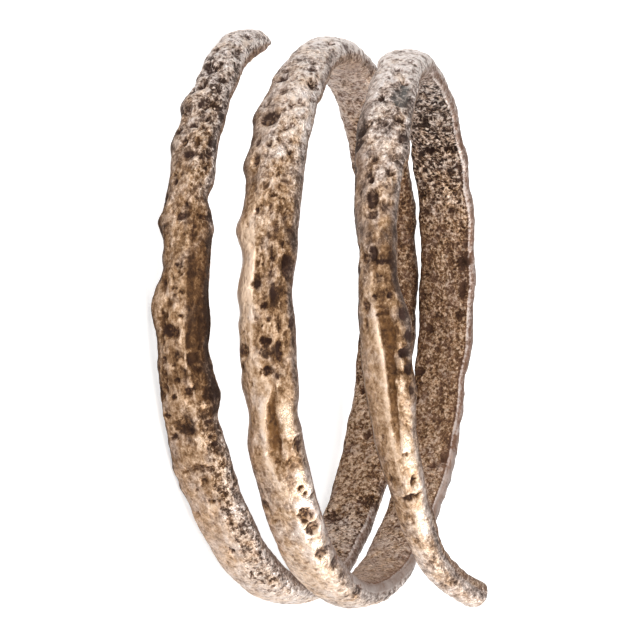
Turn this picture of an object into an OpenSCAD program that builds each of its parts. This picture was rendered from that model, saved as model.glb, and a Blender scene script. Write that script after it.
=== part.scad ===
// Coil ring: one cast bar of bronze, wound two and a half times round the finger.
// The bar is a ring of section points carried along the coil. Angle 0 lies on -X,
// angle 90 on -Y, and the coil climbs along +Z as the angle grows. The finished coil
// is then leaned onto the three low places that it rests on.

/* [Coil] */
// Clear width inside the coil, where the finger goes
finger_d = 17.35; // [15:0.05:22]
// Full width of the bar along the coil's axis, where a row below says 1
bar_w = 1.85; // [1.4:0.05:2.1]
// Full thickness of the bar away from the finger, where a row below says 1
bar_t = 0.98; // [0.7:0.02:1.3]
// Stretch of the coil along its axis, 1 as worn
stretch = 1; // [1:0.02:1.5]

/* [Cast surface] */
// Depth of the largest cast pits
pit_depth = 0.16; // [0:0.01:0.22]
// Height of the swells along both edges of the bar, 1 as cast
swell = 1; // [0:0.1:1.2]
// Fall of the roof-like outer face from its crest, 1 as cast
roof = 1; // [0:0.1:1.3]

/* [Rest] */
// Lean of the coil's axis from plumb as it lies on its side
rest_lean = 6.7; // [0:0.01:12]
// The way the axis leans, counted from +X towards +Y
rest_way = 50.4; // [0:0.1:360]

/* [Mesh] */
// Points round the bar's section
sides = 18; // [12:1:20]
// Rings of points along the bar
ring_count = 328; // [200:4:360]

/* [Hidden] */

mid_radius = (finger_d + bar_t) / 2;
// The outer face takes more of the section's points, because it carries the relief
outer_points = round(0.6 * sides);
inner_points = sides - outer_points;
// Powers that square up the section's edges, dome its outer face and flatten its inner
edge_bow = 0.75;
face_bow = 0.85;
inner_bow = 0.5;

// The bar's course: angle along the coil, place along the axis, offset from the mean
// radius, and width and thickness as shares of the full bar
ANGLE = 0;
PLACE = 1;
SWING = 2;
WIDE = 3;
THICK = 4;
course = [
    [-2, -2.76, 0.10, 0.22, 0.45],
    [2, -2.88, 0.14, 0.46, 0.74],
    [9, -2.96, 0.16, 0.64, 0.90],
    [25, -2.93, 0.16, 0.66, 0.97],
    [50, -2.84, 0.12, 0.76, 1.00],
    [75, -2.70, 0.09, 0.92, 1.02],
    [100, -2.59, 0.09, 1.02, 1.02],
    [125, -2.22, 0.10, 1.02, 1.02],
    [150, -1.64, 0.17, 0.99, 1.00],
    [190, -1.15, 0.06, 0.98, 0.97],
    [226, -0.90, -0.04, 1.00, 0.97],
    [250, -0.66, -0.01, 1.07, 0.97],
    [300, -0.45, -0.04, 1.08, 0.97],
    [340, -0.46, -0.11, 1.02, 0.97],
    [380, -0.20, -0.06, 0.92, 0.97],
    [411, -0.05, 0.02, 1.03, 1.00],
    [438, 0.12, 0.04, 1.04, 1.02],
    [480, 0.34, 0.06, 1.05, 1.02],
    [503, 0.55, 0.11, 1.00, 1.00],
    [540, 0.88, 0.17, 0.97, 0.97],
    [581, 1.22, 0.06, 1.00, 0.97],
    [630, 1.58, -0.06, 1.04, 0.97],
    [660, 1.78, -0.18, 1.04, 0.97],
    [688, 1.92, -0.34, 0.98, 0.95],
    [715, 2.28, -0.46, 0.90, 0.94],
    [746, 2.92, -0.41, 0.91, 0.94],
    [769, 3.30, -0.31, 0.94, 0.97],
    [784, 3.50, -0.26, 0.78, 0.97],
    [800, 3.80, -0.22, 0.71, 0.97],
    [809, 4.05, -0.18, 0.88, 0.97],
    [820, 4.22, -0.16, 0.91, 0.97],
    [836, 4.38, -0.14, 0.79, 0.97],
    [850, 4.55, -0.06, 0.66, 0.95],
    [862, 4.73, 0.03, 0.56, 0.92],
    [875, 5.05, 0.14, 0.54, 0.90],
    [887, 5.60, 0.20, 0.52, 0.88],
];

// The outer face's crest: angle, place across the bar from -1 to 1, and how far the
// face falls from the crest to the edge below it and to the edge above it
CREST = 1;
FALL_LOW = 2;
FALL_HIGH = 3;
crest_line = [
    [-2, 0.0, 0.05, 0.05],
    [43, 0.0, 0.08, 0.10],
    [60, 0.15, 0.08, 0.14],
    [75, 0.26, 0.08, 0.22],
    [85, 0.26, 0.08, 0.24],
    [93, 0.27, 0.08, 0.24],
    [100, 0.28, 0.08, 0.22],
    [106, 0.34, 0.10, 0.22],
    [114, 0.40, 0.12, 0.18],
    [125, 0.40, 0.12, 0.14],
    [133, 0.28, 0.10, 0.12],
    [142, 0.35, 0.08, 0.10],
    [152, 0.10, 0.06, 0.08],
    [200, 0.0, 0.05, 0.05],
    [360, 0.0, 0.06, 0.06],
    [402, -0.10, 0.10, 0.06],
    [416, -0.30, 0.10, 0.08],
    [430, -0.35, 0.10, 0.10],
    [445, -0.35, 0.10, 0.12],
    [455, -0.30, 0.12, 0.14],
    [459, -0.15, 0.16, 0.16],
    [462, 0.10, 0.18, 0.16],
    [464.5, 0.22, 0.20, 0.16],
    [467, 0.05, 0.20, 0.14],
    [470, -0.10, 0.20, 0.12],
    [475, -0.16, 0.20, 0.12],
    [480, -0.08, 0.18, 0.14],
    [486, 0.15, 0.18, 0.16],
    [495, 0.45, 0.16, 0.16],
    [508, 0.48, 0.12, 0.14],
    [520, 0.20, 0.10, 0.10],
    [540, 0.0, 0.06, 0.06],
    [720, -0.1, 0.06, 0.08],
    [745, -0.35, 0.08, 0.08],
    [765, -0.50, 0.10, 0.08],
    [777, -0.40, 0.12, 0.08],
    [786, -0.20, 0.12, 0.08],
    [800, -0.10, 0.14, 0.08],
    [807, -0.10, 0.18, 0.08],
    [811, -0.04, 0.20, 0.10],
    [816, 0.05, 0.22, 0.12],
    [820, 0.10, 0.22, 0.14],
    [825, 0.10, 0.20, 0.14],
    [830, 0.10, 0.20, 0.15],
    [840, 0.22, 0.18, 0.15],
    [852, 0.25, 0.14, 0.12],
    [863, 0.05, 0.08, 0.08],
    [887, 0.0, 0.04, 0.04],
];

// The flute along the high side of the crest: angle, width and depth in mm
FLUTE_WIDE = 1;
FLUTE_DEEP = 2;
flute_line = [
    [-2, 0.30, 0.0],
    [62, 0.40, 0.0],
    [80, 0.45, 0.04],
    [100, 0.45, 0.04],
    [110, 0.40, 0.0],
    [360, 0.20, 0.0],
    [461, 0.15, 0.0],
    [463.5, 0.16, 0.08],
    [467, 0.22, 0.12],
    [471, 0.42, 0.14],
    [475, 0.48, 0.14],
    [478.5, 0.40, 0.09],
    [482, 0.35, 0.0],
    [640, 0.35, 0.0],
    [807, 0.42, 0.0],
    [809, 0.44, 0.08],
    [812, 0.48, 0.13],
    [815, 0.42, 0.13],
    [818, 0.28, 0.12],
    [825, 0.22, 0.12],
    [830, 0.22, 0.12],
    [835, 0.16, 0.10],
    [839, 0.12, 0.0],
    [887, 0.10, 0.0],
];

// Swells and notches of the bar's edges: angle, edge (-1 the low one, 1 the high one),
// height in mm, half length in degrees
swells = [
    [9, -1, 0.20, 5], [25, -1, 0.10, 4], [33, -1, 0.08, 2], [42, -1, 0.16, 2.5],
    [52, -1, 0.18, 3.5], [65, -1, 0.05, 3], [71, -1, 0.11, 2], [75.5, -1, -0.16, 2.5],
    [81, -1, -0.18, 3.2], [89, -1, 0.15, 3.5], [104, -1, -0.05, 6], [123, -1, 0.10, 2], [127, -1, 0.12, 2],
    [65, 1, -0.20, 3], [72, 1, 0.06, 2], [97, 1, -0.12, 3], [107, 1, 0.10, 2.5],
    [112, 1, -0.08, 2], [120, 1, 0.06, 3],
    [366, -1, -0.30, 8], [380, -1, -0.10, 5], [391, -1, 0.09, 4],
    [527, -1, -0.15, 7], [738, -1, -0.15, 6], [404, -1, 0.15, 4], [417, -1, 0.14, 3], [432, -1, 0.13, 2.5],
    [438.5, -1, -0.15, 3.5], [449, -1, -0.10, 2], [461, -1, -0.07, 2], [470, -1, -0.19, 5],
    [445, 1, -0.06, 5], [470, 1, -0.12, 3], [398, 1, -0.05, 3],
    [786, -1, 0.07, 3], [795, -1, -0.12, 4], [818, -1, 0.06, 4], [772, 1, 0.12, 4],
    [812, 1, 0.10, 4], [826, 1, 0.05, 3],
    [230, 1, -0.07, 3], [246, 1, 0.06, 3], [262, 1, -0.06, 3], [280, 1, 0.05, 4],
    [600, 1, 0.06, 4], [618, 1, -0.08, 4], [640, 1, 0.05, 4], [662, 1, -0.07, 4],
    [590, -1, -0.05, 4], [655, -1, 0.05, 4], [690, -1, -0.06, 4],
];

// Larger cast pits of the outer face, charted one by one: angle, place across the bar,
// half width and half length in mm, and share of the full depth
pits = [
    [14.2, 0.56, 0.11, 0.22, 0.9], [23, 0.75, 0.12, 0.2, 0.5], [31.2, -0.45, 0.17, 0.24, 1],
    [33, -0.08, 0.2, 0.24, 1], [44.2, 0.2, 0.26, 0.22, 1], [45.9, -0.6, 0.15, 0.2, 0.5],
    [57, 0, 0.24, 0.11, 0.8], [70.6, 0, 0.22, 0.13, 0.6], [93.2, -0.28, 0.34, 0.21, 0.85],
    [98.7, 0.5, 0.15, 0.2, 0.9], [106, 0.92, 0.12, 0.4, 0.7], [111.9, -0.15, 0.44, 0.34, 0.75],
    [117.5, 0.8, 0.1, 0.3, 0.6], [121.3, 0.05, 0.22, 0.16, 0.6], [368, 0.95, 0.14, 0.3, 0.6],
    [373.2, 0.54, 0.11, 0.22, 1], [394.2, -0.42, 0.2, 0.2, 0.8], [395.3, 0.78, 0.16, 0.22, 0.9],
    [399, -0.15, 0.14, 0.18, 0.5], [407, -0.37, 0.29, 0.32, 1], [417.5, -0.5, 0.12, 0.2, 0.7],
    [433.5, 0.4, 0.1, 0.28, 0.45], [434.5, 0.85, 0.12, 0.3, 0.5],
    [440.2, 0.86, 0.13, 0.45, 0.8], [441.5, 0.35, 0.12, 0.2, 0.45],
    [445.6, 0.5, 0.16, 0.28, 0.6], [456.9, -0.75, 0.16, 0.24, 0.9],
    [456.9, 0.1, 0.18, 0.28, 0.75], [457, 0.56, 0.1, 0.45, 0.7],
    [460.8, 0.12, 0.22, 0.13, 0.85], [475.5, 0.2, 0.16, 0.24, 0.5],
    [486.8, 0.75, 0.13, 0.21, 0.9], [491, -0.78, 0.16, 0.3, 0.5],
    [493.2, 0.68, 0.21, 0.28, 0.8], [496.8, 0.72, 0.19, 0.19, 1],
    [504.9, 0.8, 0.18, 0.26, 0.75], [510.5, 0.97, 0.1, 0.3, 0.7], [526, 0.95, 0.12, 0.3, 0.6],
    [752.8, 0.66, 0.22, 0.22, 0.7], [757, 0.6, 0.26, 0.6, 0.9], [767, -0.65, 0.2, 0.35, 0.8],
    [769.7, 0.85, 0.12, 0.2, 0.7], [771, -0.8, 0.15, 0.28, 0.8], [785.2, 0.02, 0.17, 0.27, 1],
    [787.2, 0.56, 0.12, 0.24, 0.8], [796.8, 0.02, 0.15, 0.2, 1],
    [797.5, -0.45, 0.15, 0.18, 0.5], [807.2, -0.53, 0.14, 0.2, 0.65],
    [809.5, 0.88, 0.14, 0.2, 0.7], [817, 0.78, 0.15, 0.16, 0.9], [848, 0.4, 0.28, 0.11, 0.95],
    [875, 0.95, 0.18, 0.18, 0.5],
];

// Pits of the faces that look away: they follow a rule, one every few degrees
far_first = 170;
far_last = 720;
far_step = 7;
far_pits = [for (k = [0 : (far_last - far_first) / far_step])
    let (angle = far_first + k * far_step + 4 * sin(k * 137))
    if (!(angle > 350 && angle < 550))
        let (radius = 0.20 + 0.08 * sin(k * 77))
        [angle, 0.85 * sin(k * 222), radius, radius, 0.7]];
all_pits = concat(pits, far_pits);

// Smooth value of a table's column at an angle, through every row
function row_before(rows, a, i = 0) =
    i >= len(rows) - 2 || a < rows[i + 1][ANGLE] ? i : row_before(rows, a, i + 1);
function slope(rows, i, column) =
    let (lo = max(i - 1, 0), hi = min(i + 1, len(rows) - 1))
    (rows[hi][column] - rows[lo][column]) / (rows[hi][ANGLE] - rows[lo][ANGLE]);
function value_at(rows, a, column) =
    let (
        i = row_before(rows, a),
        span = rows[i + 1][ANGLE] - rows[i][ANGLE],
        u = (a - rows[i][ANGLE]) / span,
        leave = slope(rows, i, column) * span,
        arrive = slope(rows, i + 1, column) * span,
        rise = rows[i + 1][column] - rows[i][column]
    )
    rows[i][column] + leave * u + (3 * rise - 2 * leave - arrive) * u * u
        + (leave + arrive - 2 * rise) * u * u * u;

// Middle line of the bar
function mid_point(a) =
    let (r = mid_radius + value_at(course, a, SWING))
    [-r * cos(a), -r * sin(a), stretch * value_at(course, a, PLACE)];

function unit(v) = v / norm(v);
function hump(distance, half) = exp(-pow(distance / half, 2));
function sum_of(list) = len(list) == 0 ? 0 : list * [for (one = list) 1];

// Edge swells near an angle, for one edge
function swell_at(a, edge) =
    swell * (sum_of([for (s = swells) if (s[1] == edge && abs(a - s[0]) < 3 * s[3])
        s[2] * hump(a - s[0], s[3])])
        + 0.025 * sin(a * 11 + 60 * edge) + 0.02 * sin(a * 23 + 140 * edge));

// How far the outer face lies under a plain domed bar, at a place across it
function roof_fall(a, across) =
    let (crest = value_at(crest_line, a, CREST))
    roof * (across < crest
        ? value_at(crest_line, a, FALL_LOW) * pow((crest - across) / (1 + crest), 1.4)
        : value_at(crest_line, a, FALL_HIGH) * pow((across - crest) / (1 - crest), 1.4));
function flute_fall(a, across, half_wide) =
    let (
        wide = max(value_at(flute_line, a, FLUTE_WIDE), 0.1),
        deep = max(value_at(flute_line, a, FLUTE_DEEP), 0),
        beyond = (across - value_at(crest_line, a, CREST)) * half_wide
    )
    deep * hump(beyond - wide / 2, max(0.6 * wide, 0.13));
function pit_fall(a, across, half_wide, near) =
    sum_of([for (p = near)
        let (d = norm([(a - p[0]) * mid_radius * PI / 180 / max(p[3], 0.22),
                       (across - p[1]) * half_wide / max(p[2], 0.16)]))
        if (d < 2) pit_depth * p[4] * hump(d, 0.9)]);

// The ring of section points at one angle
function section(a) =
    let (
        middle = mid_point(a),
        along = unit(mid_point(a + 0.2) - mid_point(a - 0.2)),
        upward = unit(cross([-cos(a), -sin(a), 0], along)),
        outward = cross(along, upward),
        high = bar_w / 2 * value_at(course, a, WIDE) + swell_at(a, 1),
        low = bar_w / 2 * value_at(course, a, WIDE) + swell_at(a, -1),
        half_thick = bar_t / 2 * value_at(course, a, THICK),
        near = [for (p = all_pits) if (abs(a - p[0]) < 7) p]
    )
    [for (k = [0 : sides - 1])
        let (
            is_outer = k < outer_points,
            turn = is_outer ? 180 * (k + 0.5) / outer_points
                : 180 + 180 * (k - outer_points + 0.5) / inner_points,
            across = sign(cos(turn)) * pow(abs(cos(turn)), edge_bow),
            half_wide = across > 0 ? high : low,
            rise = is_outer
                ? half_thick * pow(sin(turn), face_bow) - roof_fall(a, across)
                    - flute_fall(a, across, half_wide)
                    - pit_fall(a, across, half_wide, near)
                : -half_thick * pow(-sin(turn), inner_bow)
        )
        middle + across * half_wide * upward + rise * outward];

first_angle = course[0][ANGLE];
last_angle = course[len(course) - 1][ANGLE];
ring_angles = [for (k = [0 : ring_count - 1])
    first_angle + (last_angle - first_angle) * k / (ring_count - 1)];
coil_points = [for (a = ring_angles) each section(a)];

// The coil leans about a level line onto its three low places
function turned(p, by) = [p.x * cos(by) - p.y * sin(by), p.x * sin(by) + p.y * cos(by), p.z];
function leaned(p) =
    let (q = turned(p, -rest_way))
    turned([q.x * cos(rest_lean) + q.z * sin(rest_lean), q.y,
            q.z * cos(rest_lean) - q.x * sin(rest_lean)], rest_way);
leaned_points = [for (p = coil_points) leaned(p)];
xs = [for (p = leaned_points) p.x];
ys = [for (p = leaned_points) p.y];
zs = [for (p = leaned_points) p.z];
foot = [(min(xs) + max(xs)) / 2, (min(ys) + max(ys)) / 2, min(zs)];
set_down = [for (p = leaned_points) p - foot];

// Faces: two triangles for each side of each step, and a fan that closes each end
function ring_point(ring, k) = ring * sides + k % sides;
wall_faces = [for (ring = [0 : ring_count - 2], k = [0 : sides - 1])
    each [[ring_point(ring, k), ring_point(ring + 1, k), ring_point(ring + 1, k + 1)],
          [ring_point(ring, k), ring_point(ring + 1, k + 1), ring_point(ring, k + 1)]]];
start_face = [for (k = [0 : sides - 1]) k];
end_face = [for (k = [0 : sides - 1]) ring_point(ring_count - 1, sides - 1 - k)];

module coil_band()
{
    color("rosybrown")
        polyhedron(points = set_down, faces = concat(wall_faces, [start_face, end_face]),
                   convexity = 8);
}

coil_band();
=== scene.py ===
import math

import bpy
import numpy as np
from mathutils import Matrix, Vector


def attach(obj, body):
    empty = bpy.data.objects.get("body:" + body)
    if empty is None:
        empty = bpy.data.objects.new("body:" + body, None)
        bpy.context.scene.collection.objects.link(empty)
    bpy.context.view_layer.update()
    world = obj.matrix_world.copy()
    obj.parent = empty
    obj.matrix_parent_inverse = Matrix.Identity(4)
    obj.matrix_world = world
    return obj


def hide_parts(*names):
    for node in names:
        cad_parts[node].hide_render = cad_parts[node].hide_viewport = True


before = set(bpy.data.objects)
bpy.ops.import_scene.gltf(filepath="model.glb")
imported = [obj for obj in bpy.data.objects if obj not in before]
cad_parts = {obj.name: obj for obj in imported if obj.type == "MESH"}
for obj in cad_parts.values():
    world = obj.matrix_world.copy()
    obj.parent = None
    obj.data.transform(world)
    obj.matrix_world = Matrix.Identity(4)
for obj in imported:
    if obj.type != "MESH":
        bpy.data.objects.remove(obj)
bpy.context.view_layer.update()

# A ring cast in bronze, one bar wound two and a half times round the finger.
# The bar is wound in the coil's own frame, in millimetres: angle 0 lies on -X, angle 90
# on -Y, which is the side that faces the camera, and the coil climbs along +Z. It is then
# leaned, set down on the floor and scaled to metres, as the cast solid is.

# Driving sizes, in millimetres and degrees
MM = 0.001
FINGER_WIDE = 17.35
BAR_WIDE = 1.85
BAR_THICK = 0.98
MID_RADIUS = (FINGER_WIDE + BAR_THICK) / 2
REST_LEAN = 6.7
REST_WAY = 50.4

# The bar's course: angle, place along the axis, offset from the mean radius, and width
# and thickness as shares of the full bar
PLACE, SWING, WIDE, THICK = 1, 2, 3, 4
COURSE = (
    (-2, -2.72, 0.24, 0.14, 0.26),
    (2, -2.87, 0.21, 0.44, 0.66),
    (9, -2.96, 0.19, 0.64, 0.88),
    (25, -2.93, 0.16, 0.66, 0.97),
    (50, -2.84, 0.12, 0.76, 1.00),
    (75, -2.70, 0.09, 0.92, 1.02),
    (100, -2.59, 0.09, 1.02, 1.02),
    (125, -2.22, 0.10, 1.02, 1.02),
    (150, -1.64, 0.17, 0.99, 1.00),
    (190, -1.15, 0.06, 0.98, 0.97),
    (226, -0.90, -0.04, 1.00, 0.97),
    (250, -0.66, -0.01, 1.07, 0.97),
    (300, -0.45, -0.04, 1.08, 0.97),
    (340, -0.46, -0.11, 1.02, 0.97),
    (380, -0.20, -0.06, 0.92, 0.97),
    (411, -0.05, 0.02, 1.03, 1.00),
    (438, 0.12, 0.04, 1.04, 1.02),
    (480, 0.34, 0.06, 1.05, 1.02),
    (503, 0.55, 0.11, 1.00, 1.00),
    (540, 0.88, 0.17, 0.97, 0.97),
    (581, 1.22, 0.06, 1.00, 0.97),
    (630, 1.58, -0.06, 1.04, 0.97),
    (660, 1.78, -0.18, 1.04, 0.97),
    (688, 1.92, -0.34, 0.98, 0.95),
    (715, 2.28, -0.46, 0.90, 0.94),
    (746, 2.92, -0.41, 0.91, 0.94),
    (769, 3.30, -0.31, 0.94, 0.97),
    (784, 3.50, -0.26, 0.78, 0.97),
    (800, 3.80, -0.22, 0.71, 0.97),
    (809, 4.05, -0.18, 0.88, 0.97),
    (820, 4.22, -0.16, 0.91, 0.97),
    (836, 4.38, -0.14, 0.79, 0.97),
    (850, 4.55, -0.06, 0.66, 0.95),
    (862, 4.73, 0.03, 0.56, 0.92),
    (875, 5.05, 0.14, 0.54, 0.90),
    (887, 5.60, 0.20, 0.52, 0.88),
)

# The outer face's crest: angle, place across the bar from -1 to 1, and how far the face
# falls from the crest to the edge below it and to the edge above it
CREST_LINE = (
    (-2, 0.0, 0.05, 0.05),
    (43, 0.0, 0.08, 0.10),
    (60, 0.15, 0.08, 0.14),
    (75, 0.26, 0.08, 0.22),
    (85, 0.26, 0.08, 0.24),
    (93, 0.27, 0.08, 0.24),
    (100, 0.28, 0.08, 0.22),
    (106, 0.34, 0.10, 0.22),
    (114, 0.40, 0.12, 0.18),
    (125, 0.40, 0.12, 0.14),
    (133, 0.28, 0.10, 0.12),
    (142, 0.35, 0.08, 0.10),
    (152, 0.10, 0.06, 0.08),
    (200, 0.0, 0.05, 0.05),
    (360, 0.0, 0.06, 0.06),
    (402, -0.10, 0.10, 0.06),
    (416, -0.30, 0.10, 0.08),
    (430, -0.35, 0.10, 0.10),
    (445, -0.35, 0.10, 0.12),
    (455, -0.30, 0.12, 0.14),
    (459, -0.15, 0.16, 0.16),
    (462, 0.10, 0.18, 0.16),
    (464.5, 0.22, 0.20, 0.16),
    (467, 0.05, 0.20, 0.14),
    (470, -0.10, 0.20, 0.12),
    (475, -0.16, 0.20, 0.12),
    (480, -0.08, 0.18, 0.14),
    (486, 0.15, 0.18, 0.16),
    (495, 0.45, 0.16, 0.16),
    (508, 0.48, 0.12, 0.14),
    (520, 0.20, 0.10, 0.10),
    (540, 0.0, 0.06, 0.06),
    (720, -0.1, 0.06, 0.08),
    (745, -0.35, 0.08, 0.08),
    (765, -0.50, 0.10, 0.08),
    (777, -0.40, 0.12, 0.08),
    (786, -0.20, 0.12, 0.08),
    (800, -0.10, 0.14, 0.08),
    (807, -0.10, 0.18, 0.08),
    (811, -0.04, 0.20, 0.10),
    (816, 0.05, 0.22, 0.12),
    (820, 0.10, 0.22, 0.14),
    (825, 0.10, 0.20, 0.14),
    (830, 0.10, 0.20, 0.15),
    (840, 0.22, 0.18, 0.15),
    (852, 0.25, 0.14, 0.12),
    (863, 0.05, 0.08, 0.08),
    (887, 0.0, 0.04, 0.04),
)

# The flute along the high side of the crest: angle, width and depth, and the least width
FLUTE_WIDE, FLUTE_DEEP = 1, 2
FLUTE_LEAST = 0.08
FLUTE_LINE = (
    (-2, 0.30, 0.0),
    (62, 0.40, 0.0),
    (80, 0.45, 0.04),
    (100, 0.45, 0.04),
    (110, 0.40, 0.0),
    (360, 0.20, 0.0),
    (461, 0.15, 0.0),
    (463.5, 0.16, 0.08),
    (467, 0.22, 0.12),
    (471, 0.42, 0.14),
    (475, 0.48, 0.14),
    (478.5, 0.40, 0.09),
    (482, 0.35, 0.0),
    (640, 0.35, 0.0),
    (807, 0.42, 0.0),
    (809, 0.44, 0.08),
    (812, 0.48, 0.13),
    (815, 0.42, 0.13),
    (818, 0.28, 0.12),
    (825, 0.22, 0.12),
    (830, 0.22, 0.12),
    (835, 0.16, 0.10),
    (839, 0.12, 0.0),
    (887, 0.10, 0.0),
)

# Swells and notches of the edges: angle, edge (-1 low, 1 high), height, half length
SWELLS = (
    (9, -1, 0.20, 5), (25, -1, 0.10, 4), (33, -1, 0.08, 2), (42, -1, 0.16, 2.5),
    (52, -1, 0.18, 3.5), (65, -1, 0.05, 3), (71, -1, 0.11, 2), (75.5, -1, -0.16, 2.5),
    (81, -1, -0.18, 3.2), (89, -1, 0.15, 3.5), (104, -1, -0.05, 6), (123, -1, 0.10, 2),
    (127, -1, 0.12, 2),
    (65, 1, -0.20, 3), (72, 1, 0.06, 2), (97, 1, -0.12, 3), (107, 1, 0.10, 2.5),
    (112, 1, -0.08, 2), (120, 1, 0.06, 3),
    (366, -1, -0.30, 8), (380, -1, -0.10, 5), (391, -1, 0.09, 4),
    (527, -1, -0.15, 7), (738, -1, -0.15, 6), (404, -1, 0.15, 4), (417, -1, 0.14, 3),
    (432, -1, 0.13, 2.5),
    (438.5, -1, -0.15, 3.5), (449, -1, -0.10, 2), (461, -1, -0.07, 2), (470, -1, -0.19, 5),
    (445, 1, -0.06, 5), (470, 1, -0.12, 3), (398, 1, -0.05, 3),
    (786, -1, 0.07, 3), (795, -1, -0.12, 4), (818, -1, 0.06, 4), (772, 1, 0.12, 4),
    (812, 1, 0.10, 4), (826, 1, 0.05, 3),
    (230, 1, -0.07, 3), (246, 1, 0.06, 3), (262, 1, -0.06, 3), (280, 1, 0.05, 4),
    (600, 1, 0.06, 4), (618, 1, -0.08, 4), (640, 1, 0.05, 4), (662, 1, -0.07, 4),
    (590, -1, -0.05, 4), (655, -1, 0.05, 4), (690, -1, -0.06, 4),
)

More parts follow.
